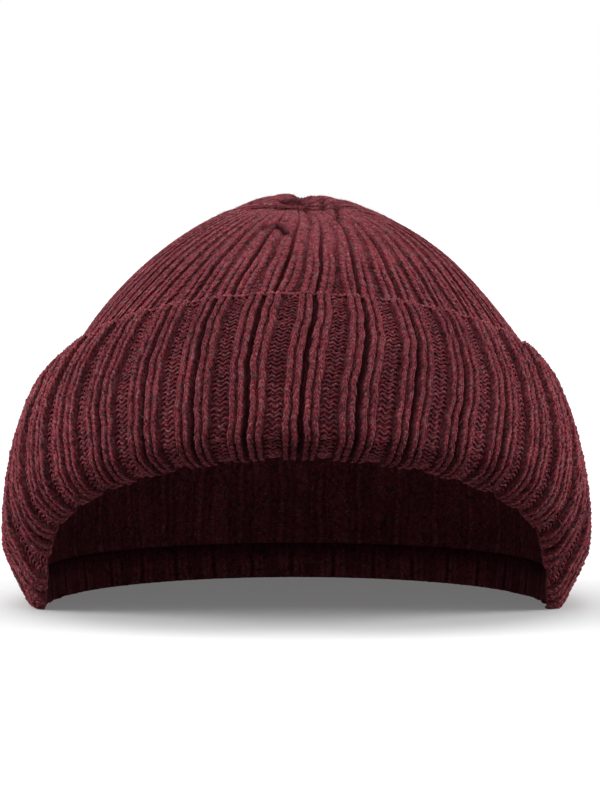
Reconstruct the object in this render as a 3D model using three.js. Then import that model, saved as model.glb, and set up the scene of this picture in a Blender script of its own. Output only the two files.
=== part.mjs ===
import * as THREE from "three";

// A fisherman beanie of chunky wool rib, resting by itself: the turned-up cuff stands on its sides and
// back, and its front is arched up. Millimetres, +Z up, the front of the hat towards -Y, with the origin
// on the surface under the middle of the hat.

// Head opening at the hem, inside the wall
const headWidth = 160;
const headLength = 194;

// Heights above the surface that the hat rests on
const crownHeight = 130.5;
const cuffTopFront = 99.8;
const cuffTopSide = 69;
const cuffTopBack = 62;
const frontArch = 54.5;

// Crown where it comes out of the cuff, measured from the middle of the head opening
const crownHalfWidth = 78;
const crownFront = 66;
const crownBack = 95;

// Gathered tip: how far it lies towards the front and the right, how deep it is sunk, how much it
// leans forward
const tipForward = 10;
const tipRight = 1.6;
const tipSink = 4.5;
const tipLean = 3.5;

// Knitted cloth: crown wall over its ribs, cuff at its top edge and over its fold, how far the fold
// reaches below the crown's hem where it rests and at the front, how flat it is pressed, and the gap
const knitThickness = 4.6;
const cuffThickness = 3;
const foldThickness = 9;
const foldDrop = 13;
const foldDropFront = 7;
const foldFlattening = 1.5;
const clearance = 0.3;

// Ribs: repeats round the hat, how deep their valleys are, how far the pattern is turned
const ribCount = 36;
const crownRibDepth = 2;
const cuffRibDepth = 2.8;
const ribTurn = 0.21;

// One repeat of the rib: a narrow deep valley, a ridge, a wide shallow valley and a second ridge, with
// each point's place in the repeat and its depth as a share of the rib depth
const ribProfile = [
  { at: 0, depth: 1 },
  { at: 0.2, depth: 0 },
  { at: 0.38, depth: 0.45 },
  { at: 0.62, depth: 0.45 },
  { at: 0.8, depth: 0 },
];

// Creases of the gathered tip: heading in degrees from the front towards the right, angular spread,
// reach as a share of the crown's half width, and depth as a share of the knit
const tipCreases = [
  { heading: -74, spread: 9, reach: 0.34, depth: 0.5 },
  { heading: -100, spread: 8, reach: 0.3, depth: 0.4 },
  { heading: -30, spread: 8, reach: 0.26, depth: 0.25 },
  { heading: 28, spread: 9, reach: 0.28, depth: 0.3 },
  { heading: 66, spread: 9, reach: 0.26, depth: 0.25 },
  { heading: 178, spread: 14, reach: 0.4, depth: 0.35 },
];

// Soft dents and swells of the standing wall: heading, spread in degrees, level from hem (0) over the
// cuff's top edge (1) to the tip (2), spread in level, and depth as a share of the knit
const dents = [
  { heading: -75, spread: 25, level: 1, reach: 0.14, depth: 0.4 },
  { heading: 62, spread: 22, level: 1.35, reach: 0.25, depth: -0.25 },
  { heading: 150, spread: 26, level: 1.45, reach: 0.3, depth: 0.4 },
  { heading: -140, spread: 24, level: 1.3, reach: 0.3, depth: -0.3 },
];

// Shape of the curves, as powers and shares
const wallCurve = { side: 3, front: 1.4, back: 2 };
const cuffCurve = 2.5;
const domeCurve = 1.97;
const archCurve = 0.72;
const archBlend = 24;
const archStart = 90;
const tipSpread = 0.16;

// Middle of the crown's ring, towards the back, and what is left of the rib depth at the tip
const crownMiddle = 0.12 * crownBack;
const ribAtTip = 0.35;

const fullTurn = 2 * Math.PI;
const degrees = THREE.MathUtils.degToRad;
const mix = THREE.MathUtils.lerp;

// Height of the arched front at a heading: full at the front, gone where the cuff meets the surface
function archShare(heading) {
  const away = headingGap(heading, 0);
  if (away >= degrees(archStart)) return 0;
  const toRest = THREE.MathUtils.smoothstep(degrees(archStart) - away, 0, degrees(archBlend));
  return Math.cos(away) ** archCurve * toRest;
}

// The fold's reach below the hem, and the hem's height, which carries the fold's underside at the
// front arch and presses it flat on the surface elsewhere
const dropAt = (heading) => mix(foldDrop, foldDropFront, archShare(heading));
const hemHeight = (heading) => dropAt(heading) - foldFlattening + frontArch * archShare(heading);

// Height of the cuff's top edge: a tilted plane over the front half, levelling off over the back half
function cuffTop(heading) {
  const forward = Math.cos(heading);
  const rise = cuffTopFront - cuffTopSide;
  const fall = cuffTopSide - cuffTopBack;
  if (forward > 0) return cuffTopSide + rise * forward;
  return cuffTopSide - fall * (1 - Math.exp((rise * forward) / fall));
}

// A Gaussian hump of one at its middle
const hump = (distance, spread) => Math.exp(-((distance / spread) ** 2));

// Angle between two headings, the short way round
function headingGap(a, b) {
  const gap = Math.abs(a - b) % fullTurn;
  return Math.min(gap, fullTurn - gap);
}

// Ring of the standing wall below the cuff's top edge: half width, reach to the front and back, middle
function wallRing(level) {
  const hemHalfWidth = headWidth / 2 + knitThickness;
  const hemHalfLength = headLength / 2 + knitThickness;
  return {
    halfWidth: mix(hemHalfWidth, crownHalfWidth, level ** wallCurve.side),
    front: mix(hemHalfLength, crownFront, level ** wallCurve.front),
    back: mix(hemHalfLength, crownBack, level ** wallCurve.back),
    middle: mix(0, crownMiddle, level),
    right: 0,
  };
}

// Ring of the dome, which shrinks evenly from the cuff's top edge to the tip
function domeRing(share) {
  return {
    halfWidth: crownHalfWidth * share,
    front: mix(tipForward, crownFront, share),
    back: mix(-tipForward, crownBack, share),
    middle: mix(-tipForward, crownMiddle, share),
    right: mix(tipRight, 0, share),
  };
}

// Height of the dome: a paraboloid from the cuff's top edge, sunk at the tip and leaning forward there
function domeHeight(share, heading) {
  const rise = (crownHeight - cuffTop(heading)) * (1 - share ** domeCurve);
  const near = share / tipSpread;
  const lean = tipLean * Math.cos(heading) * near * Math.exp(1 - near);
  let height = cuffTop(heading) + rise - tipSink * hump(share, tipSpread) - lean;
  for (const crease of tipCreases) {
    const across = hump(headingGap(heading, degrees(crease.heading)), degrees(crease.spread));
    const along = Math.sin(Math.PI * Math.min(share / crease.reach, 1));
    height -= crease.depth * knitThickness * across * along;
  }
  return height;
}

// Point of the smooth surface that touches the crown's ridges, at a level (0 hem, 1 cuff's top edge,
// 2 tip) and a heading (0 front, growing towards the right)
function surfacePoint(level, heading) {
  const share = 2 - level;
  const ring = level <= 1 ? wallRing(level) : domeRing(share);
  const forward = Math.cos(heading);
  const reach = forward > 0 ? ring.front + ring.middle : ring.back - ring.middle;
  const height = level <= 1
    ? mix(hemHeight(heading), cuffTop(heading), level)
    : domeHeight(share, heading);
  const across = ring.right + ring.halfWidth * Math.sin(heading);
  return new THREE.Vector3(across, ring.middle - reach * forward, height);
}

// The surface's upward tangent and outward normal at a level and heading
function surfaceFrame(level, heading) {
  const step = 0.01;
  const from = Math.max(level - step, 0);
  const to = Math.min(level + step, 2 - step);
  const up = surfacePoint(to, heading).sub(surfacePoint(from, heading)).normalize();
  const round = surfacePoint(level, heading + step).sub(surfacePoint(level, heading - step));
  return { up, out: round.cross(up).normalize() };
}

// Depth of the soft dents at a level and heading
function dentDepth(level, heading) {
  let depth = 0;
  for (const dent of dents) {
    const round = hump(headingGap(heading, degrees(dent.heading)), degrees(dent.spread));
    depth += dent.depth * knitThickness * round * hump(level - dent.level, dent.reach);
  }
  return depth;
}

// Point at a distance outside the smooth surface, and below it along the wall
function clothPoint(level, heading, outward, below = 0) {
  const frame = surfaceFrame(level, heading);
  const point = surfacePoint(level, heading);
  point.addScaledVector(frame.out, outward - dentDepth(level, heading));
  point.addScaledVector(frame.up, -below);
  point.z = Math.max(point.z, 0);
  return point;
}

// The columns round the hat: each has a heading and its depth in the rib
const columns = [];
for (let repeat = 0; repeat < ribCount; repeat++) {
  for (const spot of ribProfile) {
    const turns = (repeat + spot.at + ribTurn) / ribCount;
    columns.push({ heading: turns * fullTurn, depth: spot.depth });
  }
}

const ringOf = (pointAt) => columns.map((column) => pointAt(column.heading, column.depth));

// Skins a list of rings, from a top point down the outside and up the inside to a bottom point, or,
// where no points are given, round and back to the first ring. From the band where the inside starts,
// the diagonals turn over, so that facing layers have the same facets
function skin(rings, insideStart, topPoint, endPoint) {
  const count = columns.length;
  const positions = rings.flat().flatMap((point) => point.toArray());
  const faces = [];
  const bands = topPoint ? rings.length - 1 : rings.length;
  for (let band = 0; band < bands; band++) {
    const upper = band * count;
    const lower = ((band + 1) % rings.length) * count;
    for (let j = 0; j < count; j++) {
      const next = (j + 1) % count;
      if (band < insideStart) {
        faces.push(upper + j, lower + j, lower + next, upper + j, lower + next, upper + next);
      } else {
        faces.push(upper + j, lower + j, upper + next, lower + j, lower + next, upper + next);
      }
    }
  }
  if (topPoint) {
    const top = rings.length * count;
    positions.push(...topPoint.toArray(), ...endPoint.toArray());
    for (let j = 0; j < count; j++) {
      const next = (j + 1) % count;
      const last = (rings.length - 1) * count;
      faces.push(top, j, next, top + 1, last + next, last + j);
    }
  }
  const geometry = new THREE.BufferGeometry();
  geometry.setAttribute("position", new THREE.Float32BufferAttribute(positions, 3));
  geometry.setIndex(faces);
  geometry.computeVertexNormals();
  return geometry;
}

// Levels of the rings that crown and cuff share inside the cuff, from its top edge down
const hiddenLevels = [1, 0.8, 0.4, 0];

// Crown: a ribbed dome wall, closed at the tip and open below
function crownGeometry() {
  const domeLevels = [1.94, 1.84, 1.69, 1.52, 1.34, 1.16];
  const insideLevels = [0, 0.5, 0.92, 1.35, 1.72];
  const ribFade = (level) => (level > 1 ? mix(ribAtTip, 1, Math.sqrt(2 - level)) : 1);
  const outside = [...domeLevels, ...hiddenLevels].map((level) =>
    ringOf((heading, depth) => clothPoint(level, heading, -depth * crownRibDepth * ribFade(level))),
  );
  const inside = insideLevels.map((level) =>
    ringOf((heading) => clothPoint(level, heading, -knitThickness)),
  );
  const tip = new THREE.Vector3(tipRight, -tipForward, crownHeight - tipSink);
  const insideTip = tip.clone().setZ(tip.z - knitThickness);
  return skin([...outside, ...inside], outside.length, tip, insideTip);
}

// Rows of the cuff's face, from its top edge down: the level and the share of the cuff's thickness
const faceRows = [
  { level: 0.99, proud: 0.75 },
  { level: 0.93, proud: 1 },
  { level: 0.78, proud: 1 },
  { level: 0.54, proud: 1 },
  { level: 0.3, proud: 1 },
  { level: 0.12, proud: 0.92 },
];

// Rows of the rolled fold, from its face round under to its inside: the distance outside the crown as
// a share of the fold's thickness, where it rests and at the front, the drop below the hem as a share
// of the fold's, and how much the ribs show
const foldRows = [
  { out: 0.64, outFront: 0.93, drop: 0, rib: 1 },
  { out: 0.28, outFront: 0.8, drop: 0.45, rib: 0.9 },
  { out: -0.05, outFront: 0.45, drop: 0.82, rib: 0.6 },
  { out: -0.3, outFront: 0.08, drop: 1, rib: 0.3 },
  { out: -0.63, outFront: -0.4, drop: 1, rib: 0 },
  { out: -0.6, outFront: -0.62, drop: 0.5, rib: 0 },
];

// Cuff: a ribbed band outside the crown, with a thick rolled fold that closes round the crown's hem
function cuffGeometry() {
  const thickness = (level) => mix(foldThickness, cuffThickness, level ** cuffCurve);
  const thinnest = clearance + knitThickness / 4;
  const face = faceRows.map((row) =>
    ringOf((heading, depth) => {
      const proud = clearance + row.proud * thickness(row.level) - depth * cuffRibDepth;
      return clothPoint(row.level, heading, Math.max(proud, thinnest));
    }),
  );
  const fold = foldRows.map((row) =>
    ringOf((heading, depth) => {
      const out = foldThickness * mix(row.out, row.outFront, archShare(heading));
      return clothPoint(0, heading, out - depth * cuffRibDepth * row.rib, row.drop * dropAt(heading));
    }),
  );
  const lip = [-knitThickness, clearance].map((out) =>
    ringOf((heading) => clothPoint(0, heading, out, clearance)),
  );
  const back = [...hiddenLevels].reverse().slice(1).map((level) =>
    ringOf((heading) => clothPoint(level, heading, clearance)),
  );
  return skin([...face, ...fold, ...lip, ...back], face.length + fold.length + 1);
}

// Heather burgundy wool, matt
const wool = { roughness: 0.95, metalness: 0 };

function piece(name, geometry, color) {
  const mesh = new THREE.Mesh(geometry, new THREE.MeshStandardMaterial({ color, ...wool }));
  mesh.name = name;
  return mesh;
}

const beanie = new THREE.Group();
beanie.add(piece("crown", crownGeometry(), 0x6e2c3a));
beanie.add(piece("cuff", cuffGeometry(), 0x672733));

// The middle of the hat comes over the origin
const middle = new THREE.Box3().setFromObject(beanie).getCenter(new THREE.Vector3());
beanie.position.set(-middle.x, -middle.y, 0);

export default beanie;
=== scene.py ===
import bpy
import numpy as np
from mathutils import Matrix


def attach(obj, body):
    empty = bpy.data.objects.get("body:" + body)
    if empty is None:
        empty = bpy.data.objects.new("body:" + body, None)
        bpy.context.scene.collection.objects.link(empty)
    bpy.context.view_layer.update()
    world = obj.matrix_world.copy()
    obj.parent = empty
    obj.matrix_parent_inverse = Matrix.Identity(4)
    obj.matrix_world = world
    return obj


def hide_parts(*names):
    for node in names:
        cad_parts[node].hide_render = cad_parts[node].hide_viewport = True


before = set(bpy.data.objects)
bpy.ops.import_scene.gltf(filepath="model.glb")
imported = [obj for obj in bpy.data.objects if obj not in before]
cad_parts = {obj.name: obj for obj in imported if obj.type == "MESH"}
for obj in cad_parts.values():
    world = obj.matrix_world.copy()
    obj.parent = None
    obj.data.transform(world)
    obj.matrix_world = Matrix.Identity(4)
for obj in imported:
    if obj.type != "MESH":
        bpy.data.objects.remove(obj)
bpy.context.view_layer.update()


# Crown wall. The crown is the dome of the beanie, one tube of chunky ribbed wool gathered shut at the
# tip. Its lower half stands hidden inside the turned-up cuff, and its inside shows under the arched
# front. It is knitted in one with the cuff, which is turned up over its hem.
mm = 0.001
knit = 4.6 * mm
hem_half_width = 80 * mm + knit
hem_half_length = 97 * mm + knit
crown_half_width = 78 * mm
crown_front = 66 * mm
crown_back = 95 * mm
crown_middle = 0.12 * crown_back
crown_top = 130.5 * mm
cuff_top_front = 99.8 * mm
cuff_top_side = 69 * mm
cuff_top_back = 62 * mm
front_arch = 54.5 * mm
fold_drop = 13 * mm
fold_drop_front = 7 * mm
fold_pressed = 1.5 * mm
tip_forward = 10 * mm
tip_right = 1.6 * mm
tip_sink = 4.5 * mm
tip_lean = 3.5 * mm
tip_spread = 0.16
repeats = 36
full_turn = 2 * np.pi
degree = np.pi / 180

# How sharply the surface curves: powers of the cosine for the front's arch and of the level for the
# rings and the dome, and where the arch starts and how far round it eases in
arch_curve = 0.72
arch_start = 90 * degree
arch_blend = 24 * degree
side_curve = 3
front_curve = 1.4
back_curve = 2
dome_curve = 1.97

# Creases of the gathered tip: heading in degrees from the front towards the right, angular spread,
# reach as a share of the crown's half width, and depth as a share of the knit
tip_creases = [
    {"heading": -74, "spread": 9, "reach": 0.34, "depth": 0.5},
    {"heading": -100, "spread": 8, "reach": 0.3, "depth": 0.4},
    {"heading": -30, "spread": 8, "reach": 0.26, "depth": 0.25},
    {"heading": 28, "spread": 9, "reach": 0.28, "depth": 0.3},
    {"heading": 66, "spread": 9, "reach": 0.26, "depth": 0.25},
    {"heading": 178, "spread": 14, "reach": 0.4, "depth": 0.35},
]

# Soft dents and swells of the wall: heading, spread, level from hem (0) over the cuff's top edge (1)
# to the tip (2), reach in level, and depth as a share of the knit
wall_dents = [
    {"heading": -75, "spread": 25, "level": 1, "reach": 0.14, "depth": 0.4},
    {"heading": 62, "spread": 22, "level": 1.35, "reach": 0.25, "depth": -0.25},
    {"heading": 150, "spread": 26, "level": 1.45, "reach": 0.3, "depth": 0.4},
    {"heading": -140, "spread": 24, "level": 1.3, "reach": 0.3, "depth": -0.3},
]

# Grooves of the gathered cloth round the tip, seen from above: their two ends and their width in mm,
# their depth as a share of the knit, and how far they lie in shade
tip_grooves = [
    {"start": (-12, -14), "end": (-1, -11.5), "width": 1.2, "depth": 0.45, "shade": 0.9},
    {"start": (-10.5, -38), "end": (-5.2, -38), "width": 1.1, "depth": 0.35, "shade": 0.8},
    {"start": (-5.2, -38), "end": (-2.8, -42), "width": 1.4, "depth": 0.45, "shade": 1},
    {"start": (-2.5, -4.6), "end": (1.5, -3), "width": 2.2, "depth": 0.1, "shade": 0.9},
    {"start": (-3.3, -5), "end": (1.1, -6.9), "width": 1.8, "depth": 0.05, "shade": 0.7},
    {"start": (8.3, -3.6), "end": (8.6, -15), "width": 0.9, "depth": 0.3, "shade": 0.7},
    {"start": (12.4, -7.4), "end": (12.9, -33), "width": 1.0, "depth": 0.3, "shade": 0.7},
    {"start": (3.2, -18), "end": (4.6, -37), "width": 1.3, "depth": 0.2, "shade": 0.4},
    {"start": (20.7, -16.5), "end": (25.5, -18.5), "width": 1.2, "depth": 0.4, "shade": 0.8},
]


def mix(low, high, share):
    """low at a share of 0, high at a share of 1, and evenly in between."""
    return low + (high - low) * share


def ease(value):
    """0 up to 0, 1 from 1 on, and the smooth cubic 3v^2 - 2v^3 in between."""
    value = np.clip(value, 0, 1)
    return value * value * (3 - 2 * value)


def hump(distance, spread):
    """A Gaussian hump: e to the power of minus the squared distance over the spread, one at its middle."""
    return np.exp(-((distance / spread) ** 2))


def heading_gap(heading, other):
    """Angle between two headings, the short way round."""
    gap = np.abs(heading - other) % full_turn
    return np.minimum(gap, full_turn - gap)


def arch_share(heading):
    """Height of the arched front: a power of the cosine, eased to nothing where the hat rests."""
    away = heading_gap(heading, 0)
    return np.clip(np.cos(away), 0, 1) ** arch_curve * ease((arch_start - away) / arch_blend)


def drop_at(heading):
    """How far the fold reaches below the hem: less at the arched front."""
    return mix(fold_drop, fold_drop_front, arch_share(heading))


def cuff_top(heading):
    """Height of the cuff's top edge: a tilted plane in front, levelling off as an exponential behind."""
    forward = np.cos(heading)
    rise = cuff_top_front - cuff_top_side
    fall = cuff_top_side - cuff_top_back
    behind = cuff_top_side - fall * (1 - np.exp(rise * np.minimum(forward, 0) / fall))
    return np.where(forward > 0, cuff_top_side + rise * forward, behind)


def crown_surface(level, heading):
    """Smooth surface over the crown's ridges: rings that narrow from the hem (level 0) by powers of the
    level to the cuff's top edge (1), then evenly to the tip (2), under a paraboloid of height."""
    low = np.clip(level, 0, 1)
    share = 2 - np.clip(level, 1, 2)
    half_width = mix(hem_half_width, crown_half_width, low**side_curve) * share
    front = mix(tip_forward, mix(hem_half_length, crown_front, low**front_curve), share)
    back = mix(-tip_forward, mix(hem_half_length, crown_back, low**back_curve), share)
    middle = mix(-tip_forward, crown_middle * low, share)
    forward = np.cos(heading)
    reach = np.where(forward > 0, front + middle, back - middle)
    hem = drop_at(heading) - fold_pressed + front_arch * arch_share(heading)
    top = cuff_top(heading)
    near = share / tip_spread
    height = mix(hem, top, low) + (crown_top - top) * (1 - share**dome_curve)
    height = height - tip_sink * hump(share, tip_spread) - tip_lean * forward * near * np.exp(1 - near)
    for crease in tip_creases:
        across = hump(heading_gap(heading, crease["heading"] * degree), crease["spread"] * degree)
        along = np.sin(np.pi * np.minimum(share / crease["reach"], 1))
        height = height - crease["depth"] * knit * across * along
    x = tip_right * (1 - share) + half_width * np.sin(heading)
    return np.stack([x, middle - reach * forward, height], -1)


def groove_sum(level, heading, key):
    """Depth or shade of the grooves round the tip: for each, a hump in the distance from the line between
    its ends."""
    spot = crown_surface(level, heading)[..., :2]
    total = 0
    for groove in tip_grooves:
        start, end = np.array(groove["start"]) * mm, np.array(groove["end"]) * mm
        along = np.clip((spot - start) @ (end - start) / np.sum((end - start) ** 2), 0, 1)
        distance = np.linalg.norm(spot - start - along[..., None] * (end - start), axis=-1)
        total = total + groove[key] * hump(distance, groove["width"] * mm)
    return total


def dent_depth(level, heading):
    """Depth of the soft dents, a sum of humps in heading and level, and of the grooves round the tip."""
    depth = groove_sum(level, heading, "depth") * knit
    for dent in wall_dents:
        across = hump(heading_gap(heading, dent["heading"] * degree), dent["spread"] * degree)
        depth = depth + dent["depth"] * knit * across * hump(level - dent["level"], dent["reach"])
    return depth


def unit(vectors):
    """Vectors divided by their lengths, which brings them to a length of one."""
    return vectors / np.maximum(np.linalg.norm(vectors, axis=-1, keepdims=True), 1e-12)


def cloth(level, heading, outward, below=0):
    """Point at a distance outside the smooth surface, less the dents, and below it along the wall: the
    surface point plus its normal and less its upward direction, each times its distance."""
    level, heading = np.broadcast_arrays(level, heading)
    step = 0.01
    higher = crown_surface(np.minimum(level + step, 2 - step), heading)
    lower = crown_surface(np.maximum(level - step, 0), heading)
    up = unit(higher - lower)
    around = crown_surface(level, heading + step) - crown_surface(level, heading - step)
    out = unit(np.cross(around, up))
    away = np.asarray(outward - dent_depth(level, heading))[..., None]
    point = crown_surface(level, heading) + out * away
    point = point - up * np.broadcast_to(below, level.shape)[..., None]
    point[..., 2] = np.maximum(point[..., 2], 0)
    return point


# One repeat of the rib, from the middle of a closed deep valley over two knit wales to the middle of
# an open purl valley, with the other half its mirror image: each point's place in the repeat, its
# depth as a share of the rib's, its depth where the crown is gathered, and how far it lies in shade
rib_profile = [
    {"at": 0.0, "depth": 1.35, "gathered": 1.2, "shade": 1.0},
    {"at": 0.024, "depth": 1.2, "gathered": 1.0, "shade": 1.0},
    {"at": 0.044, "depth": 0.65, "gathered": 0.55, "shade": 0.8},
    {"at": 0.074, "depth": 0.2, "gathered": 0.2, "shade": 0.2},
    {"at": 0.112, "depth": 0.05, "gathered": 0.1, "shade": 0.0},
    {"at": 0.15, "depth": 0.3, "gathered": 0.02, "shade": 0.35},
    {"at": 0.186, "depth": 0.6, "gathered": 0.0, "shade": 0.85},
    {"at": 0.222, "depth": 0.3, "gathered": 0.02, "shade": 0.35},
    {"at": 0.26, "depth": 0.05, "gathered": 0.1, "shade": 0.0},
    {"at": 0.295, "depth": 0.25, "gathered": 0.25, "shade": 0.3},
    {"at": 0.325, "depth": 0.62, "gathered": 0.45, "shade": 0.7},
    {"at": 0.37, "depth": 0.78, "gathered": 0.6, "shade": 0.65},
    {"at": 0.435, "depth": 0.72, "gathered": 0.62, "shade": 0.55},
    {"at": 0.5, "depth": 0.76, "gathered": 0.65, "shade": 0.6},
]
rib_at, rib_depth, rib_gathered, rib_shade = (
    np.array([spot[key] for spot in rib_profile]) for key in ("at", "depth", "gathered", "shade")
)
column_places = np.concatenate([rib_at, 1 - rib_at[-2:0:-1]])
column_phase = (np.arange(repeats)[:, None] + column_places).ravel()

# Sideways waves of the ribs: how far they swing in repeats, how many go round the hat, how fast they
# turn along the rib, and where they start
rib_waves = [
    {"swing": 0.05, "round": 3, "along": 2.1, "start": 0.4},
    {"swing": 0.035, "round": 7, "along": -5, "start": 1.9},
    {"swing": 0.016, "round": 8, "along": 21, "start": 0},
    {"swing": 0.011, "round": 14, "along": -29, "start": 2},
    {"swing": 0.022, "round": 13, "along": 9, "start": 5.1},
]


def wander(phase, along):
    """Sideways wander of the ribs, in repeats: the sum of the sine waves round the hat and along the rib."""
    turn = phase / repeats * full_turn
    total = 0
    for wave in rib_waves:
        total = total + wave["swing"] * np.sin(wave["round"] * turn + wave["along"] * along + wave["start"])
    return total


# Where the crown's rib pattern starts and how far it twists, in repeats, the share of the crown's width
# below which the twist eases off, and the shift that gives crown and cuff different waves
crown_start = 0.42
crown_twist = 1.05
twist_eased = 0.5
wave_shift = 11


def crown_heading(phase, level):
    """Heading of a place in the crown's rib pattern, which twists slowly to the right on its way up and
    wanders less and less: the phase, plus both, over the number of repeats."""
    share = 2 - np.clip(level, 1, 2)
    twisted = crown_twist * (1 - share) * ease(share / twist_eased)
    turned = crown_start + twisted + wander(phase + wave_shift, level) * share
    return (phase + turned) / repeats * full_turn


# The open valleys are drawn shut on the way up: how much of half a repeat the ridge takes before and
# after, the share of the crown's width at which that is done, over how much of it, and how much it
# varies from one repeat to the next
open_edge = 0.36
drawn_edge = 0.47
drawn_by = 0.86
drawn_over = 0.2
drawn_varies = 0.07


def drawn_shut(phase, level):
    """How much of half a repeat the ridge takes, which grows as the open valley is drawn shut, in some
    repeats at once and in others further up: a mix by an eased share of the crown's width."""
    share = 2 - np.clip(level, 1, 2)
    late = drawn_varies * np.sin(2.4 * np.floor(phase) + 1)
    return mix(drawn_edge, open_edge, ease((share - drawn_by + late) / drawn_over))


def drawn_phase(repeat, place, level):
    """Phase of a place in the rib profile once the open valley is drawn shut: the ridge stretched evenly
    and the valley shrunk evenly."""
    half = np.minimum(place, 1 - place)
    edge = drawn_shut(repeat + 0.5, level)
    ridge = half / open_edge * edge
    valley = edge + (half - open_edge) / (0.5 - open_edge) * (0.5 - edge)
    spread = np.where(half < open_edge, ridge, valley)
    return repeat + np.where(place < 0.5, spread, 1 - spread)


# The groove between the two wales of a ridge: its place and half width in the rib profile
groove_at = 0.186
groove_half = 0.05

# How the crown's ribs change towards the tip, by shares of the crown's width: where the wales of a ridge
# have grown together and over how much, where the ribs have faded away at the sides and how much sooner
# at front and back, and what is left of them
together_by = 0.62
together_over = 0.3
faded_by = 0.18
front_faded_by = 0.25
faded_over = 0.42
faded_shade = 0.16
faded_depth = 0.1

# The ribs are deepest, and their painted shade darkest, at the front and the back of the crown, about
# these headings and this far round, and this much shallower and less shaded at its sides
deep_headings = (10 * degree, 190 * degree)
deep_spread = 42 * degree
side_depth = 0.6

# Folds of the gathered tip: ribs to a fold, where they start and over how much, how small they are at
# front and back, and the hollow at their middle
gathered_ribs = 3
gathered_from = 0.34
gathered_over = 0.12
gathered_front = 0.7
gathered_hollow = 0.06
# How deep the folds are and the painted shade in them, the painted shade of the ribs, and the painted shade
# in the hollow at the tip itself, with its spread in shares
gathered_depth = 0.3
gathered_shade = 0.4
crown_rib_shade = 0.75
tip_shade = 0.3
tip_shade_spread = 0.04


def crown_relief(phase, level):
    """Depth and shade of the crown's ribs: the profile, with its open valley drawn shut, the two wales
    of a ridge growing together, all of it fading towards the tip, and a squared cosine for the folds."""
    share = 2 - np.clip(level, 1, 2)
    place = phase % 1
    half = np.minimum(place, 1 - place)
    edge = drawn_shut(phase, level)
    ridge = half / edge * open_edge
    valley = open_edge + (half - edge) / (0.5 - edge) * (0.5 - open_edge)
    drawn = np.where(half < edge, ridge, valley)
    parted = ease((share - together_by) / together_over)
    depth = mix(np.interp(drawn, rib_at, rib_gathered), np.interp(drawn, rib_at, rib_depth), parted)
    groove = mix(0.7, 0.3, parted) * hump(drawn - groove_at, groove_half)
    shade = np.interp(drawn, rib_at, rib_shade) * (1 - groove)
    heading = phase / repeats * full_turn
    facing = sum(hump(heading_gap(heading, deep), deep_spread) for deep in deep_headings)
    fade = ease((share - faded_by - front_faded_by * facing) / faded_over)
    fade = mix(faded_shade * facing, 1, fade)
    gather = ease((gathered_from - share) / gathered_over) * (1 - gathered_front * facing)
    gather = gather * ease(share / gathered_hollow)
    fold = gather * (0.5 + 0.5 * np.cos(phase * full_turn / gathered_ribs)) ** 2
    shallow = mix(side_depth, 1, facing)
    shade = crown_rib_shade * shade * fade * shallow + gathered_shade * fold
    shade = shade + groove_sum(level, crown_heading(phase, level), "shade")
    shade = shade + tip_shade * hump(share, tip_shade_spread)
    return depth * mix(faded_depth, shallow, fade) + gathered_depth * fold, np.minimum(shade, 1)


def new_piece(name, points, faces, carried):
    """Object with a mesh of the points and faces, whose points carry numbers under the names given."""
    mesh = bpy.data.meshes.new(name)
    mesh.from_pydata(points.reshape(-1, 3).tolist(), [], faces)
    for key, value in carried.items():
        layer = mesh.attributes.new(key, "FLOAT", "POINT")
        layer.data.foreach_set("value", np.ascontiguousarray(value, np.float32).ravel())
    piece = bpy.data.objects.new(name, mesh)
    bpy.context.scene.collection.objects.link(piece)
    return piece


def knit_wall(name, points, carried, caps=None):
    """Wall of cloth from rings of points, each closed round the hat, joined by four-sided faces. The rings
    go down the outside and up the inside. With caps, the first and last ring are closed by a point.
    Without, the last ring meets the first."""
    rings, columns = points.shape[:2]
    bands = rings if caps is None else rings - 1
    upper = (np.arange(bands) * columns)[:, None]
    lower = (np.arange(1, bands + 1) % rings * columns)[:, None]
    here = np.arange(columns)
    after = (here + 1) % columns
    quads = np.stack([upper + here, lower + here, lower + after, upper + after], -1)
    faces = quads.reshape(-1, 4).tolist()
    if caps is not None:
        last = (rings - 1) * columns
        outer_cap, inner_cap = np.full((2, columns), [[rings * columns], [rings * columns + 1]])
        faces += np.stack([outer_cap, here, after], -1).tolist()
        faces += np.stack([inner_cap, last + after, last + here], -1).tolist()
        points = np.concatenate([points.reshape(-1, 3), caps])
        carried = {key: np.append(value, [0, 0]) for key, value in carried.items()}
    piece = new_piece(name, points, faces, carried)
    piece.data.shade_smooth()
    return piece


# Sizes of the wool's patterns, as noise scales in waves to the metre, and the two wools spun in with
# the burgundy
fibre_noise = 1000
fleck_noise = 1500
grey_noise = 460
dark_noise = 600
drift_noise = 60
fuzz_noise = 2200
grey_wool = (0.155, 0.06, 0.068, 1)
dark_wool = (0.05, 0.021, 0.024, 1)
fuzz_height = 0.4 * mm
fuzz_strength = 0.45


def grey(level):
    """A grey with all three channels at one level."""
    return (level, level, level, 1)


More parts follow.
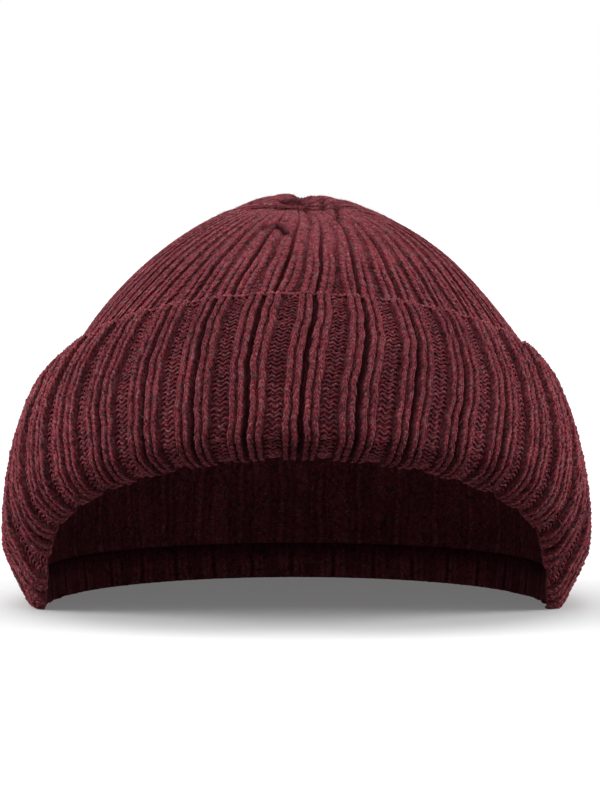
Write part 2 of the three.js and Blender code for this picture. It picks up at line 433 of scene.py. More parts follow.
def wool(name, tint, shadow, fleck, fleck_start):
    """Heather wool: a tint that drifts slowly, mixed fibre by fibre by noises with darker and grey-pink
    wool, multiplied by ramps of the tone and of the painted shade that the mesh carries, with a fine
    bump of fuzz."""
    material = bpy.data.materials.new(name)
    material.use_nodes = True
    nodes, links = material.node_tree.nodes, material.node_tree.links
    shader = nodes["Principled BSDF"]
    shader.inputs["Roughness"].default_value = 0.92
    shader.inputs["Specular IOR Level"].default_value = 0.03
    place = nodes.new("ShaderNodeTexCoord").outputs["Object"]

    def noise(scale, detail, rough=0.6):
        """Fractal noise of the place on the piece."""
        node = nodes.new("ShaderNodeTexNoise")
        node.inputs["Scale"].default_value = scale
        node.inputs["Detail"].default_value = detail
        node.inputs["Roughness"].default_value = rough
        links.new(place, node.inputs["Vector"])
        return node.outputs["Fac"]

    def ramp(value, stops):
        """Colour that runs evenly from stop to stop as the value grows."""
        node = nodes.new("ShaderNodeValToRGB")
        node.color_ramp.elements[0].position, node.color_ramp.elements[0].color = stops[0]
        node.color_ramp.elements[1].position, node.color_ramp.elements[1].color = stops[-1]
        for position, color in stops[1:-1]:
            node.color_ramp.elements.new(position).color = color
        links.new(value, node.inputs["Fac"])
        return node.outputs["Color"]

    def blend(kind, factor, low, high):
        """Two colours blended by a factor. Each of the three is a number, a colour or an output."""
        node = nodes.new("ShaderNodeMix")
        node.data_type = "RGBA"
        node.blend_type = kind
        node.clamp_result = True
        for socket, value in ((0, factor), (6, low), (7, high)):
            if isinstance(value, bpy.types.NodeSocket):
                links.new(value, node.inputs[socket])
            else:
                node.inputs[socket].default_value = value
        return node.outputs[2]

    def carried(key):
        """The number that the mesh's points carry under a name."""
        node = nodes.new("ShaderNodeAttribute")
        node.attribute_name = key
        return node.outputs["Fac"]

    color = ramp(noise(fibre_noise, 3), [(0.34, shadow), (0.6, tint)])
    flecks = ramp(noise(fleck_noise, 2, 0.4), [(fleck_start, grey(0)), (fleck_start + 0.12, grey(0.8))])
    color = blend("MIX", flecks, color, fleck)
    greyed = ramp(noise(grey_noise, 3, 0.5), [(0.52, grey(0)), (0.64, grey(0.7))])
    color = blend("MIX", greyed, color, grey_wool)
    darkened = ramp(noise(dark_noise, 3, 0.5), [(0.54, grey(0)), (0.66, grey(0.9))])
    color = blend("MIX", darkened, color, dark_wool)
    drift = ramp(noise(drift_noise, 3), [(0.3, (0.78, 0.78, 0.8, 1)), (0.7, (1.12, 1.1, 1.1, 1))])
    color = blend("MULTIPLY", 1.0, color, drift)
    tone = ramp(carried("tone"), [(0, (0.76, 0.72, 0.74, 1)), (1, grey(1.14))])
    color = blend("MULTIPLY", 1.0, color, tone)
    # Painted shade: the shade that the mesh carries darkens the colour, halfway and then fully
    half_shade, full_shade = (0.5, 0.45, 0.47, 1), (0.16, 0.12, 0.14, 1)
    shade = ramp(carried("shade"), [(0, grey(1)), (0.5, half_shade), (1, full_shade)])
    color = blend("MULTIPLY", 1.0, color, shade)
    links.new(color, shader.inputs["Base Color"])
    bump = nodes.new("ShaderNodeBump")
    bump.inputs["Strength"].default_value = fuzz_strength
    bump.inputs["Distance"].default_value = fuzz_height
    links.new(noise(fuzz_noise, 4, 0.7), bump.inputs["Height"])
    links.new(bump.outputs["Normal"], shader.inputs["Normal"])
    return material


burgundy = (0.185, 0.032, 0.041, 1)
burgundy_shadow = (0.1, 0.015, 0.02, 1)
pink_fleck = (0.21, 0.115, 0.115, 1)
heather = wool("heather_wool", burgundy, burgundy_shadow, pink_fleck, 0.56)

# The wall stands a little proud between the stitches above the cuff. Inside, the back of the rib shows
# more softly, and not at the hem.
crown_rib = 2.1 * mm
crown_proud = 0.08 * mm
crown_levels = np.concatenate(
    [np.linspace(1.985, 1.33, 44), np.linspace(1.31, 1.02, 15), np.linspace(0.98, 0, 8)]
)
inner_levels = np.linspace(0, 1.9, 30)
inner_rib = 0.7 * mm
inner_rib_mean = 1.2
level, phase = np.meshgrid(crown_levels, column_phase, indexing="ij")
depth, shade = crown_relief(phase, level)
outside = cloth(level, crown_heading(phase, level), crown_proud * (level > 1) - depth * crown_rib)
# Painted shade on the outside: a share of the relief's, an even base, and the darkest of it in the grooves
# round the tip
outer_shade = 0.5 * shade + 0.2 + np.maximum(shade - crown_rib_shade, 0)
level, phase = np.meshgrid(inner_levels, column_phase, indexing="ij")
depth, shade = crown_relief(phase, level)
inner_relief = (inner_rib_mean - depth) * inner_rib * ease(level / 0.1)
inside = cloth(level, crown_heading(phase, level), inner_relief - knit)
# Inside, painted shade all over, less where the outside has its valleys
inner_shade = 0.6 - 0.5 * shade
wall_shade = np.concatenate([outer_shade, inner_shade])
tip = np.array([tip_right, -tip_forward, crown_top - tip_sink])
crown = knit_wall(
    "crown_wall",
    np.concatenate([outside, inside]),
    {"shade": wall_shade, "tone": np.full(wall_shade.shape, 0.5)},
    caps=np.array([tip, tip - [0, 0, knit]]),
)
crown.data.materials.append(heather)
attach(crown, "root")
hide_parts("crown")


# Crown stitches. Each ridge of the crown is a pair of knit wales, columns of V-shaped stitches of thick
# woollen yarn. On the way to the tip the two wales of a ridge are knitted together into one.
row_height = 1.75 * mm
leg_width = 0.56 * mm
leg_height = 0.5 * mm
wale_half = 0.058
near_wale = 0.112
far_wale = 0.26
ridge_middle = (near_wale + far_wale) / 2
stitch_dice = np.random.default_rng(20)


class Drape:
    """A surface as a table of points, its rows evenly spaced along each column's length."""

    count = 160

    def __init__(self, rows):
        steps = np.linalg.norm(np.diff(rows, axis=0), axis=-1)
        self.run = np.concatenate([np.zeros((1, rows.shape[1])), np.cumsum(steps, axis=0)])
        self.points = self.spaced(rows)
        along = np.gradient(self.points, axis=0)
        around = np.roll(self.points, -1, axis=1) - np.roll(self.points, 1, axis=1)
        outward = np.cross(around, along)
        middle = self.points.mean(axis=(0, 1))
        facing = np.sum(outward * (self.points - middle), axis=-1).mean()
        self.out = unit(outward) * np.sign(facing)

    def spaced(self, table):
        """Table with its rows evenly spaced along the run, on straight lines between the rows given."""
        goal = np.linspace(0, 1, self.count)[:, None] * self.run[-1]
        above = np.sum(self.run[None] <= goal[:, None], axis=1) - 1
        above = np.minimum(above, len(self.run) - 2)
        start = np.take_along_axis(self.run, above, axis=0)
        end = np.take_along_axis(self.run, above + 1, axis=0)
        near = np.take_along_axis(table, above[..., None], axis=0)
        far = np.take_along_axis(table, above[..., None] + 1, axis=0)
        return mix(near, far, ((goal - start) / (end - start))[..., None])

    def look(self, table, share, heading):
        """Look-up of a table at a share of the run and a heading: an even mix of the four values round
        the spot."""
        rows, columns = table.shape[:2]
        row = np.clip(share, 0, 1) * (rows - 1)
        column = heading / full_turn * columns
        upper = np.minimum(np.floor(row).astype(int), rows - 2)
        left = np.floor(column).astype(int)
        down, aside = (row - upper)[..., None], (column - left)[..., None]
        left, right = left % columns, (left + 1) % columns
        near = mix(table[upper, left], table[upper, right], aside)
        far = mix(table[upper + 1, left], table[upper + 1, right], aside)
        return mix(near, far, down)

    def reach(self, heading):
        """Length of the run at a heading, on straight lines between the columns."""
        length = self.run[-1]
        headings = np.arange(len(length) + 1) / len(length) * full_turn
        return np.interp(heading % full_turn, headings, np.append(length, length[0]))

    def place(self, share, heading, outward):
        """Point and normal at a share of the run: the surface point plus the normal times the distance."""
        normal = unit(self.look(self.out, share, heading))
        return self.look(self.points, share, heading) + normal * np.asarray(outward)[..., None], normal


table_columns = 1440
table_rows = 120
table_headings = np.arange(table_columns) / table_columns * full_turn
stitched_levels = np.linspace(0.99, 1.97, table_rows)[:, None]
crown_drape = Drape(cloth(stitched_levels, table_headings, 0))
level_table = np.repeat(stitched_levels[..., None], table_columns, axis=1)
crown_level_table = crown_drape.spaced(level_table)


def grains(name, paths, outs, width, height, carried):
    """Joined mesh of closed grains of yarn: four-sided sections of the widths and heights given, carried
    along short paths and drawn to a point at both ends, where width and height are nothing."""
    count, stops = paths.shape[:2]
    corners = 4
    sides = unit(np.cross(np.gradient(paths, axis=1), outs))
    angle = (np.arange(corners) * full_turn / corners)[:, None]
    inner = slice(1, stops - 1)
    wide = (sides * width[..., None])[:, inner, None] * np.cos(angle)
    high = (outs * height[..., None])[:, inner, None] * np.sin(angle)
    rings = (paths[:, inner, None] + wide + high).reshape(count, -1, 3)
    points = np.concatenate([paths[:, :1], rings, paths[:, -1:]], axis=1)
    points[..., 2] = np.maximum(points[..., 2], 0)
    here = 1 + np.arange(corners)
    after = 1 + (np.arange(corners) + 1) % corners
    last = 1 + corners * (stops - 2)
    tail = last - corners - 1
    first_tips = np.stack([0 * here, here, after], -1)
    last_tips = np.stack([tail + here, last + 0 * here, tail + after], -1)
    ring = (np.arange(stops - 3) * corners)[:, None]
    quads = np.stack([ring + here, ring + corners + here, ring + corners + after, ring + after], -1)
    first = (np.arange(count) * points.shape[1])[:, None, None]
    faces = (first + np.concatenate([first_tips, last_tips])).reshape(-1, 3).tolist()
    faces += (first + quads.reshape(-1, 4)).reshape(-1, 4).tolist()
    spread = {}
    for key, value in carried.items():
        sections = np.repeat(value[:, inner], corners, axis=1)
        spread[key] = np.concatenate([value[:, :1], sections, value[:, -1:]], axis=1)
    piece = new_piece(name, points, faces, spread)
    piece.data.shade_smooth()
    return piece


def stitch_rows(reach, first, end):
    """The stitches that fit each lane, a row height apart from the first row on: their lanes, the shares
    of the run at their feet, and the shares that one row takes."""
    rows = np.arange(int(reach.max() / row_height) + 1)
    foot = (rows[:, None] + first) * row_height / reach
    row, lane = np.nonzero(foot < end)
    return lane, foot[row, lane][:, None], (row_height / reach[lane])[:, None]


def crown_at(repeat, place, share):
    """Phase, level and heading of a place in the crown's repeat, at a share of the run: the level looked
    up at the middle of the repeat, and the phase drawn with the valleys."""
    rough = (repeat + place) / repeats * full_turn
    level = crown_drape.look(crown_level_table, share, rough + 0.5 / repeats * full_turn)[..., 0]
    phase = drawn_phase(repeat, place, level)
    return phase, level, crown_heading(phase, level)


# One leg of a stitch, from its foot to its tip: how far each point is out to the side as a share of half
# a wale, how far on along the wale in row heights, how thick the yarn is, how far it stands up
leg_path = [
    {"side": 0.1, "on": -0.85, "thick": 0, "up": -0.35},
    {"side": 0.34, "on": -0.25, "thick": 1, "up": 0.2},
    {"side": 0.66, "on": 0.4, "thick": 0.95, "up": 0.16},
    {"side": 0.92, "on": 1.05, "thick": 0, "up": -0.4},
]
leg_side, leg_on, leg_thick, leg_up = (
    np.array([spot[key] for spot in leg_path]) for key in ("side", "on", "thick", "up")
)

# The crown's wales: their places in the repeat and the share of the run where they end, the second one
# where it has joined the first. Their legs are longer, flatter and lower than the cuff's.
crown_wales = [{"at": near_wale + 0.008, "end": 0.985}, {"at": far_wale + 0.004, "end": 0.5}]
first_row = 0.4
joined_from = 0.22
joined_over = 0.22
apart_width = 0.98
joined_width = 1.7
crown_leg_length = 1.25
crown_leg_width = 1.15 * leg_width
crown_leg_height = 0.42 * leg_height
crown_leg_lift = 0.6 * leg_height
crown_sunk = 0.1 * mm
tip_leg_width = 0.65


def crown_stitches(name, mirrored):
    """Both wales of each ridge on one side of the closed valleys, as V-shaped stitches: the leg path laid
    to either side of a wale's middle, row by row, each leg a little off in length, place and size."""
    lanes, places, shares, sizes = [], [], [], []
    repeat = np.arange(repeats)
    for wale in crown_wales:
        place = 1 - wale["at"] if mirrored else wale["at"]
        _, _, heading = crown_at(repeat, np.full(repeats, place), np.full(repeats, first_row))
        lane, foot, one_row = stitch_rows(crown_drape.reach(heading), first_row, wale["end"])
        for side in (-1, 1):
            loose = stitch_dice.normal(0, 1, (len(lane), 3))
            on = foot + (crown_leg_length * leg_on + 0.1 * loose[:, :1]) * one_row
            joined = ease((on - joined_from) / joined_over)
            width = wale_half * mix(apart_width, joined_width, joined)
            across = mix(wale["at"], ridge_middle, joined) + side * leg_side * width
            across = across + 0.004 * loose[:, 1:2]
            lanes.append(np.broadcast_to(lane[:, None], on.shape))
            places.append(1 - across if mirrored else across)
            shares.append(on)
            sizes.append(1 + 0.1 * loose[:, 2:3])
    lane, place, on, size = (np.concatenate(parts) for parts in (lanes, places, shares, sizes))
    phase, level, heading = crown_at(lane, place, on)
    depth, shade = crown_relief(phase, level)
    outward = leg_up * crown_leg_lift - depth * crown_rib - crown_sunk
    points, normals = crown_drape.place(on, heading, outward)
    tone = np.repeat(stitch_dice.random((len(points), 1)), len(leg_path), axis=1)
    # Painted shade on the legs: a share of the relief's, an even base over all of them, and more in the
    # grooves round the tip
    shade = 0.42 * shade + 0.22 + 1.2 * np.maximum(shade - crown_rib_shade, 0)
    thick = leg_thick * size * mix(1, tip_leg_width, ease((on - 0.3) / 0.7))
    carried = {"shade": shade, "tone": 0.2 + 0.6 * tone}
    piece = grains(name, points, normals, crown_leg_width * thick, crown_leg_height * thick, carried)
    piece.data.materials.append(heather)
    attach(piece, "root")


crown_stitches("crown_stitches_right", False)
crown_stitches("crown_stitches_left", True)


# Cuff wall. The lower part of the knitted tube, turned up over the hem into a deep cuff. Its fold rolls
# thickly round the hem and is pressed flat where the hat rests. Nothing fixes it but the grip of the rib.
clearance = 0.3 * mm
cuff_edge = 3 * mm
cuff_fold = 9 * mm
cuff_curve = 2.5
cuff_rib = 3.1 * mm
cuff_sunk = 0.25 * mm

# Rows of the cuff's face, from its top edge down: the level and the share of the cuff's thickness
face_rows = [
    {"level": 0.99, "proud": 0.75},
    {"level": 0.93, "proud": 1},
    {"level": 0.78, "proud": 1},
    {"level": 0.54, "proud": 1},
    {"level": 0.3, "proud": 1},
    {"level": 0.12, "proud": 0.92},
]

# Rows of the rolled fold, from its face round under to its inside: the distance outside the crown as
# a share of the fold's thickness, where it rests and at the front, and the drop below the hem as a
# share of the fold's
fold_rows = [
    {"out": 0.64, "front": 0.93, "drop": 0},
    {"out": 0.28, "front": 0.8, "drop": 0.45},
    {"out": -0.05, "front": 0.45, "drop": 0.82},
    {"out": -0.3, "front": 0.08, "drop": 1},
    {"out": -0.63, "front": -0.4, "drop": 1},
    {"out": -0.6, "front": -0.62, "drop": 0.5},
]


def cuff_rows(heading):
    """The rows of face and fold at each heading, over the tops of the ribs: points of the cloth, moved out
    by a thickness that goes with a power of the level, and round the fold by the table's shares."""
    rows = []
    for row in face_rows:
        thickness = mix(cuff_fold, cuff_edge, row["level"] ** cuff_curve)
        rows.append(cloth(row["level"], heading, clearance + row["proud"] * thickness))
    for row in fold_rows:
        out = cuff_fold * mix(row["out"], row["front"], arch_share(heading))
        rows.append(cloth(0, heading, out, row["drop"] * drop_at(heading)))
    return np.array(rows)


def smooth_rows(rows, steps):
    """Rows joined by Catmull-Rom curves, with so many steps from each row to the next."""
    padded = np.concatenate([2 * rows[:1] - rows[1:2], rows, 2 * rows[-1:] - rows[-2:-1]])
    share = (np.arange(steps) / steps)[:, None, None, None]
    a, b, c, d = (padded[k : k + len(rows) - 1][None] for k in range(4))
    bend = 2 * a - 5 * b + 4 * c - d + share * (3 * (b - c) + d - a)
    curve = b + 0.5 * share * (c - a + share * bend)
    curve = curve.swapaxes(0, 1).reshape(-1, *rows.shape[1:])
    return np.concatenate([curve, rows[-1:]])


cuff_drape = Drape(smooth_rows(cuff_rows(table_headings), 8))

# Where the cuff's rib pattern starts, how far it steps aside on its way down, and half of how much it
# wanders, in repeats, and the shares of the run where the step is, from the left to the right
cuff_start = 0.36
cuff_step = 0.28
cuff_wander = 0.5
step_middle = 0.38
step_slope = 0.8
step_highest = 0.2
step_lowest = 0.6
step_before = 0.34
step_over = 0.62


def cuff_heading(phase, share):
    """Heading of a place in the cuff's rib pattern. The ribs step to the left on their way down, lower
    and lower towards the right, where the cuff was tugged as it was turned up: the phase, less an eased
    step, plus the wander."""
    around = (phase / repeats * full_turn + np.pi) % full_turn - np.pi
    kink = np.clip(step_middle + step_slope * around, step_highest, step_lowest)
    stepped = cuff_step * ease((share - kink + step_before) / step_over)
    turned = cuff_start - stepped + cuff_wander * wander(phase, 2 * share)
    return (phase + turned) / repeats * full_turn


# How the cuff's ribs change down its face, by shares of the run: how much they fade, from where and over
# how much as the fold turns under, at the arched front and where the hat rests, how deep they are at
# the top edge, and from where the front's fold turns into shade
fade_front, fade_resting = 0.4, 0.97
fade_front_from, fade_resting_from = 0.78, 0.7
fade_over = 0.2
edge_depth = 0.55
edge_over = 0.04
under_shade = 0.6
under_from = 0.66

# Towards the sides the ribs lie deeper and their valleys carry more painted shade than at the front
aside_from = 25 * degree
aside_over = 30 * degree
aside_depth = 1.2


def cuff_relief(phase, share):
    """Depth and shade of the cuff's ribs: the profile, times eased shares for the top edge, the fold and
    the way round to the sides."""
    place = phase % 1
    half = np.minimum(place, 1 - place)
    heading = phase / repeats * full_turn
    resting = 1 - ease(3 * arch_share(heading))
    turning = ease((share - mix(fade_front_from, fade_resting_from, resting)) / fade_over)
    fade = 1 - mix(fade_front, fade_resting, resting) * turning
    start = mix(edge_depth, 1, ease(share / edge_over))
    aside = ease((heading_gap(heading, 0) - aside_from) / aside_over)
    under = under_shade * ease((share - under_from) / 0.2) * arch_share(heading)
    groove = 0.35 * hump(half - groove_at, groove_half)
    shade = np.interp(half, rib_at, rib_shade) * mix(0.6, 1, fade) * (1 - groove)
    # Painted shade: at the front the ridges get a little and the valleys less than the profile's; at the
    # sides the valleys get more
    shade = mix(0.14 + 0.73 * shade, shade, aside) + aside * np.clip(shade - 0.45, 0, 0.4)
    depth = np.interp(half, rib_at, rib_depth) * fade * start * mix(1, aside_depth, aside)
    return depth, np.minimum(shade + under, 1)


# The wall may sink only so deep between the stitches, less at the thin top edge than at the thick fold.
# Behind it, a lip round the hem and a lining row against the crown close the wall.
deepest_top = 2.4 * mm
deepest_fold = 9 * mm
cuff_shares = np.linspace(0, 1, 66)
share, phase = np.meshgrid(cuff_shares, column_phase, indexing="ij")
depth, shade = cuff_relief(phase, share)
heading = cuff_heading(phase, share)
deepest = mix(deepest_top, deepest_fold, ease(share / 0.6))
cuff_out, _ = cuff_drape.place(share, heading, -np.minimum(depth * cuff_rib, deepest) - cuff_sunk)
cuff_out[..., 2] = np.maximum(cuff_out[..., 2], 0)
lip = [cloth(0, heading[-1], out, clearance) for out in (-knit, clearance)]
back = [cloth(level, heading[-1], clearance) for level in (0.4, 0.8, 1)]
hidden = np.array(lip + back)
# Painted shade on the hidden lip and lining, and a wall tone a little below the stitches' mean: painted
# shade between the stitches
wall_shade = np.concatenate([shade, np.full(hidden.shape[:2], 0.6)])
cuff = knit_wall(
    "cuff_wall",
    np.concatenate([cuff_out, hidden]),
    {"shade": wall_shade, "tone": np.full(wall_shade.shape, 0.35)},
)
cuff.data.materials.append(heather)
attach(cuff, "root")
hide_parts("cuff")


# Cuff stitches. The cuff is the inside of the tube turned out, in the same rib of two knit and two purl
# wales, so its stitches stand on their heads. Every second purl valley is drawn shut.
cuff_wale_half = 0.051
cuff_leg_width = 0.47 * mm
cuff_leg_height = 0.85 * leg_height
cuff_leg_lift = 1.5 * leg_height
cuff_first_row = 0.7
cuff_last = 0.93


def cuff_stitches(name, mirrored):
    """Both wales of each ridge on one side of the closed valleys, as stitches on their heads: the leg path
    laid to either side of a wale's middle, row by row, each leg a little off in length, place and size."""
    phases, shares, sizes = [], [], []
    repeat = np.arange(repeats)
    for wale in (near_wale, far_wale):
        place = 1 - wale if mirrored else wale
        reach = cuff_drape.reach(cuff_heading(repeat + place, 0.5))
        lane, foot, one_row = stitch_rows(reach, cuff_first_row, cuff_last)
        for side in (-1, 1):
            loose = stitch_dice.normal(0, 1, (len(lane), 3))
            across = wale + side * leg_side * cuff_wale_half + 0.007 * loose[:, 1:2]
            phases.append(lane[:, None] + (1 - across if mirrored else across))
            shares.append(foot + (leg_on + 0.1 * loose[:, :1]) * one_row)
            sizes.append(1 + 0.1 * loose[:, 2:3])
    phase, on, size = (np.concatenate(parts) for parts in (phases, shares, sizes))
    depth, shade = cuff_relief(phase, on)
    outward = leg_up * cuff_leg_lift - depth * cuff_rib - cuff_sunk
    points, normals = cuff_drape.place(on, cuff_heading(phase, on), outward)
    tone = np.repeat(stitch_dice.random((len(points), 1)), len(leg_path), axis=1)
    thick = leg_thick * size
    # Painted shade on the legs: most of the relief's, over an even base
    carried = {"shade": 0.65 * shade + 0.14, "tone": 0.1 + 0.8 * tone}
    piece = grains(name, points, normals, cuff_leg_width * thick, cuff_leg_height * thick, carried)
    piece.data.materials.append(heather)
    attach(piece, "root")


cuff_stitches("cuff_stitches_right", False)
cuff_stitches("cuff_stitches_left", True)


# Purl bumps. In the open valleys the backs of the stitches show as rows of little arcs, one way up
# over each purl wale and the other way up between them.
purl_half = 0.085
purl_width = 0.42 * mm
purl_height = 0.5 * mm
purl_lift = 2 * purl_height
purl_sunk = 0.2 * mm
purl_shade = 0.55
crown_purl_last = 0.42
shut_size = 0.5
arc_path = [
    {"side": -1, "on": 0.75, "thick": 0, "up": -0.6},
    {"side": -0.6, "on": 0.2, "thick": 0.95, "up": 0.2},
    {"side": 0, "on": -0.12, "thick": 1, "up": 0.35},
    {"side": 0.6, "on": 0.2, "thick": 0.95, "up": 0.2},
    {"side": 1, "on": 0.75, "thick": 0, "up": -0.6},
]
arc_side, arc_on, arc_thick, arc_up = (
    np.array([spot[key] for spot in arc_path]) for key in ("side", "on", "thick", "up")
)

# The three arcs of a row: their place in the repeat, which way up they stand, and how far on they are
arc_row = [
    {"at": 0.41, "turned": 1, "on": 0},
    {"at": 0.59, "turned": 1, "on": 0},
    {"at": 0.5, "turned": -1, "on": 0.5},
]


def purl_arcs(reach, end):
    """Repeat, place in it, share of the run and size of each arc: the arc path laid in every row of every
    valley, twice one way up and once the other, each arc a little off in length, place and size."""
    lane, foot, one_row = stitch_rows(reach, cuff_first_row, end)
    lanes, places, shares, sizes = [], [], [], []
    for arc in arc_row:
        loose = stitch_dice.normal(0, 1, (len(lane), 3))
        shift = arc_on * arc["turned"] + arc["on"] + 0.09 * loose[:, :1]
        lanes.append(np.broadcast_to(lane[:, None], shift.shape))
        places.append(arc["at"] + arc_side * purl_half + 0.01 * loose[:, 1:2])
        shares.append(foot + shift * one_row)
        sizes.append(1 + 0.13 * loose[:, 2:3])
    return (np.concatenate(parts) for parts in (lanes, places, shares, sizes))


def purl_piece(name, points, normals, thick, shade):
    """Joined grains of yarn along the arcs, each with its own tone."""
    tone = np.repeat(stitch_dice.random((len(points), 1)), len(arc_path), axis=1)
    carried = {"shade": purl_shade * shade, "tone": tone}
    piece = grains(name, points, normals, purl_width * thick, purl_height * thick, carried)
    piece.data.materials.append(heather)
    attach(piece, "root")
    return piece


repeat = np.arange(repeats)
valley, place, on, size = purl_arcs(cuff_drape.reach(cuff_heading(repeat + 0.5, 0.5)), cuff_last)
phase = valley + place
depth, shade = cuff_relief(phase, on)
outward = arc_up * purl_lift - depth * cuff_rib - purl_sunk
points, normals = cuff_drape.place(on, cuff_heading(phase, on), outward)
cuff_purl = purl_piece("cuff_purl", points, normals, arc_thick * size, shade)

_, _, heading = crown_at(repeat, np.full(repeats, 0.5), np.full(repeats, 0.2))
valley, place, on, size = purl_arcs(crown_drape.reach(heading), crown_purl_last)
phase, level, heading = crown_at(valley, place, on)
depth, shade = crown_relief(phase, level)
outward = arc_up * purl_lift - depth * crown_rib - purl_sunk
points, normals = crown_drape.place(on, heading, outward)
shut = ease((drawn_shut(valley + 0.5, level) - open_edge) / (drawn_edge - open_edge))
crown_purl = purl_piece("crown_purl", points, normals, arc_thick * size * mix(1, shut_size, shut), shade)


# Loose fibres. The wool is hairy: single fibres stand off the yarn all over the outside, lying mostly
# along the cloth. They are part of the yarn and hold by nothing else.
fibre_count = 12000
fibre_half = 0.05 * mm
fibre_shade = 0.7
fibre_tone = 0.5
lowest_lift = 0.25 * mm
lift_spread = 0.3 * mm
cuff_reach = {"from": 0.01, "over": 0.9, "along": 0.022, "last": 0.96}
crown_reach = {"from": 0.01, "over": 0.93, "along": 0.02, "last": 0.97}
sway_spread = 0.05
pale = (0.3, 0.095, 0.11, 1)
pale_shadow = (0.17, 0.045, 0.055, 1)
pale_fleck = (0.36, 0.25, 0.25, 1)
pale_wool = wool("pale_fibre", pale, pale_shadow, pale_fleck, 0.52)
fibre_dice = np.random.default_rng(7)


def fibres(name, starts, ends, normals, shade):
    """Joined mesh of slim closed spikes, each with a three-sided foot and drawn to a point."""
    along = unit(ends - starts)
    side = unit(np.cross(along, normals))
    up = np.cross(side, along)
    angle = (np.arange(3) * full_turn / 3)[:, None]
    feet = starts[:, None] + fibre_half * (np.cos(angle) * side[:, None] + np.sin(angle) * up[:, None])
    points = np.concatenate([feet, ends[:, None]], axis=1)
    points[..., 2] = np.maximum(points[..., 2], 0)
    corners = np.array([(0, 1, 2), (1, 0, 3), (2, 1, 3), (0, 2, 3)])
    faces = (np.arange(len(starts))[:, None, None] * 4 + corners).reshape(-1, 3).tolist()
    shade = np.repeat(fibre_shade * shade, 4)
    piece = new_piece(name, points, faces, {"shade": shade, "tone": np.full(len(shade), fibre_tone)})
    piece.data.materials.append(pale_wool)
    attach(piece, "root")
    return piece


slant, sway, lift = fibre_dice.normal(0, 1, (3, fibre_count))
lift = lowest_lift + lift_spread * np.abs(lift)
phase = fibre_dice.random(fibre_count) * repeats
share = cuff_reach["from"] + cuff_reach["over"] * fibre_dice.random(fibre_count)
depth, shade = cuff_relief(phase, share)
starts, normals = cuff_drape.place(share, cuff_heading(phase, share), -depth * cuff_rib)
end_phase = phase + sway_spread * sway
end_share = np.clip(share + cuff_reach["along"] * slant, 0, cuff_reach["last"])
end_depth, _ = cuff_relief(end_phase, end_share)
ends, _ = cuff_drape.place(end_share, cuff_heading(end_phase, end_share), lift - end_depth * cuff_rib)
cuff_fibres = fibres("cuff_fibres", starts, ends, normals, shade)

repeat, place = np.floor(phase), phase % 1
share = crown_reach["from"] + crown_reach["over"] * fibre_dice.random(fibre_count)
phase, level, heading = crown_at(repeat, place, share)
depth, shade = crown_relief(phase, level)
starts, normals = crown_drape.place(share, heading, -depth * crown_rib)
end_place = np.clip(place + sway_spread * sway, 0, 1)
end_share = np.clip(share + crown_reach["along"] * slant, 0, crown_reach["last"])
end_phase, end_level, end_heading = crown_at(repeat, end_place, end_share)
end_depth, _ = crown_relief(end_phase, end_level)
ends, _ = crown_drape.place(end_share, end_heading, lift - end_depth * crown_rib)
crown_fibres = fibres("crown_fibres", starts, ends, normals, shade)


# Cast-on edge. The first row of loops along the cuff's top edge, a single strand a little lighter and
# tighter than the rest, which bridges the open valleys and dips into the closed ones.
edge_loops = 10
edge_strand = 0.55 * mm
edge_sunk = 0.15 * mm
edge_dip = 0.35
edge_path = [
    {"along": -0.75, "thick": 0, "up": -0.3},
    {"along": -0.3, "thick": 1, "up": 0.1},
    {"along": 0.3, "thick": 1, "up": 0.1},
    {"along": 0.75, "thick": 0, "up": -0.3},
]
edge_along, edge_thick, edge_up = (
    np.array([spot[key] for spot in edge_path]) for key in ("along", "thick", "up")
)
loop = np.arange(repeats * edge_loops)[:, None]
phase = (loop + 0.5 + edge_along) / edge_loops
on = np.broadcast_to(0.004 + 0.003 * np.sin(2.7 * loop), phase.shape)
depth, shade = cuff_relief(phase, 0.06)
outward = edge_up * edge_strand * 2 - edge_dip * np.minimum(depth, 0.9) * cuff_rib - edge_sunk
points, normals = cuff_drape.place(on, cuff_heading(phase, on), outward)
thick = np.broadcast_to(edge_strand * edge_thick, phase.shape)
tone = np.broadcast_to(0.6 + 0.4 * np.sin(1.7 * loop), phase.shape)
# The strand carries a quarter of the relief's painted shade
cast_on = grains("cast_on_edge", points, normals, thick, thick, {"shade": 0.25 * shade, "tone": tone})
cast_on.data.materials.append(heather)
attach(cast_on, "root")


# Stage: a wide pale floor under a plain white sky, one soft light from above the camera's shoulder, a
# soft fill from either side, and the camera at the photograph's low angle.
floor_half = 12.0
floor_glow = 0.14
sky_light = 0.45
floor_points = np.array([(-1, -1, 0), (1, -1, 0), (1, 1, 0), (-1, 1, 0)]) * floor_half
floor = new_piece("floor", floor_points, [(0, 1, 2, 3)], {})
floor_paint = bpy.data.materials.new("floor_paint")
floor_paint.use_nodes = True
floor_shader = floor_paint.node_tree.nodes["Principled BSDF"]
floor_shader.inputs["Base Color"].default_value = grey(0.45)
floor_shader.inputs["Roughness"].default_value = 0.9
floor_shader.inputs["Emission Color"].default_value = grey(1)
floor_shader.inputs["Emission Strength"].default_value = floor_glow
floor.data.materials.append(floor_paint)

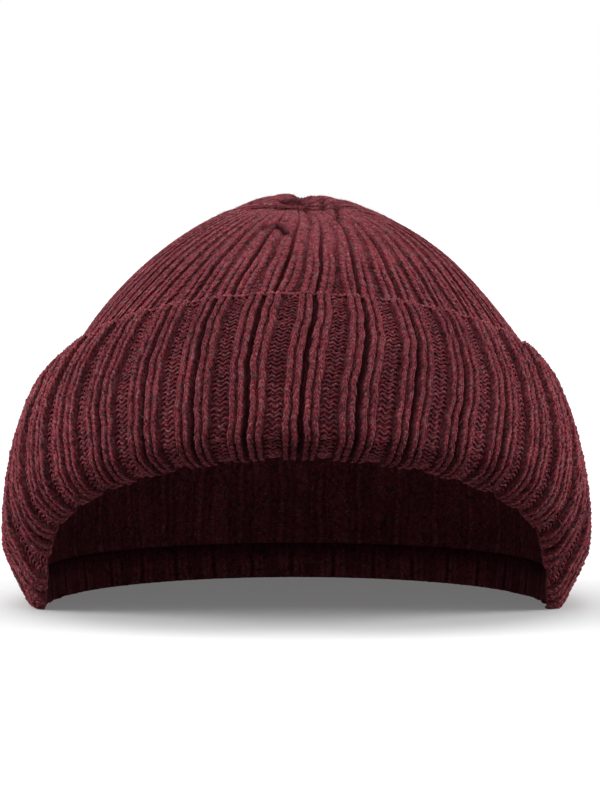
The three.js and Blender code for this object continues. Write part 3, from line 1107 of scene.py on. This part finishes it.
# The sky lights the hat dimly, and is seen by the camera as plain white
sky = bpy.data.worlds.new("sky")
sky.use_nodes = True
sky_nodes, sky_links = sky.node_tree.nodes, sky.node_tree.links
dim_sky = sky_nodes["Background"]
dim_sky.inputs["Color"].default_value = grey(1)
dim_sky.inputs["Strength"].default_value = sky_light
seen_sky = sky_nodes.new("ShaderNodeBackground")
seen_sky.inputs["Color"].default_value = grey(1)
light_path = sky_nodes.new("ShaderNodeLightPath")
either = sky_nodes.new("ShaderNodeMixShader")
sky_links.new(light_path.outputs["Is Camera Ray"], either.inputs[0])
sky_links.new(dim_sky.outputs[0], either.inputs[1])
sky_links.new(seen_sky.outputs[0], either.inputs[2])
sky_links.new(either.outputs[0], sky_nodes["World Output"].inputs["Surface"])
bpy.context.scene.world = sky
bpy.context.scene.view_settings.view_transform = "Standard"


def look_at(thing, place, aim):
    """Puts a light or camera at a place, with its own -Z towards the aim and its Y upwards: the matrix of
    its three directions and its place."""
    back = unit(np.array(place, float) - np.array(aim, float))
    right = unit(np.cross([0, 0, 1], back))
    up = np.cross(back, right)
    turned = np.eye(4)
    turned[:3] = np.stack([right, up, back, place], -1)
    thing.matrix_world = Matrix(turned.tolist())


view_distance = 1.4
view_elevation = 3 * degree
view_aim = np.array([1.1, 0, 65.1]) * mm
focal_pixels = 4430
image_width = 600
camera_data = bpy.data.cameras.new("camera")
camera_data.sensor_fit = "HORIZONTAL"
camera_data.sensor_width = 36
camera_data.lens = focal_pixels / image_width * camera_data.sensor_width
camera = bpy.data.objects.new("camera", camera_data)
bpy.context.scene.collection.objects.link(camera)
eye = view_aim + view_distance * np.array([0, -np.cos(view_elevation), np.sin(view_elevation)])
look_at(camera, eye, view_aim)
bpy.context.scene.camera = camera

# The three lights: name, power, angle that they seem wide, and the direction that they come from
stage_lights = [
    {"name": "daylight", "power": 2.95, "wide": 50 * degree, "from": (-0.2, -0.4, 2.2)},
    {"name": "side_fill", "power": 4.8, "wide": 40 * degree, "from": (-1.0, -0.05, 0.35)},
    {"name": "side_fill", "power": 4.8, "wide": 40 * degree, "from": (1.0, -0.05, 0.35)},
]
for light in stage_lights:
    lamp_data = bpy.data.lights.new(light["name"], "SUN")
    lamp_data.energy = light["power"]
    lamp_data.angle = light["wide"]
    lamp = bpy.data.objects.new(light["name"], lamp_data)
    bpy.context.scene.collection.objects.link(lamp)
    look_at(lamp, light["from"], (0, 0, 0))
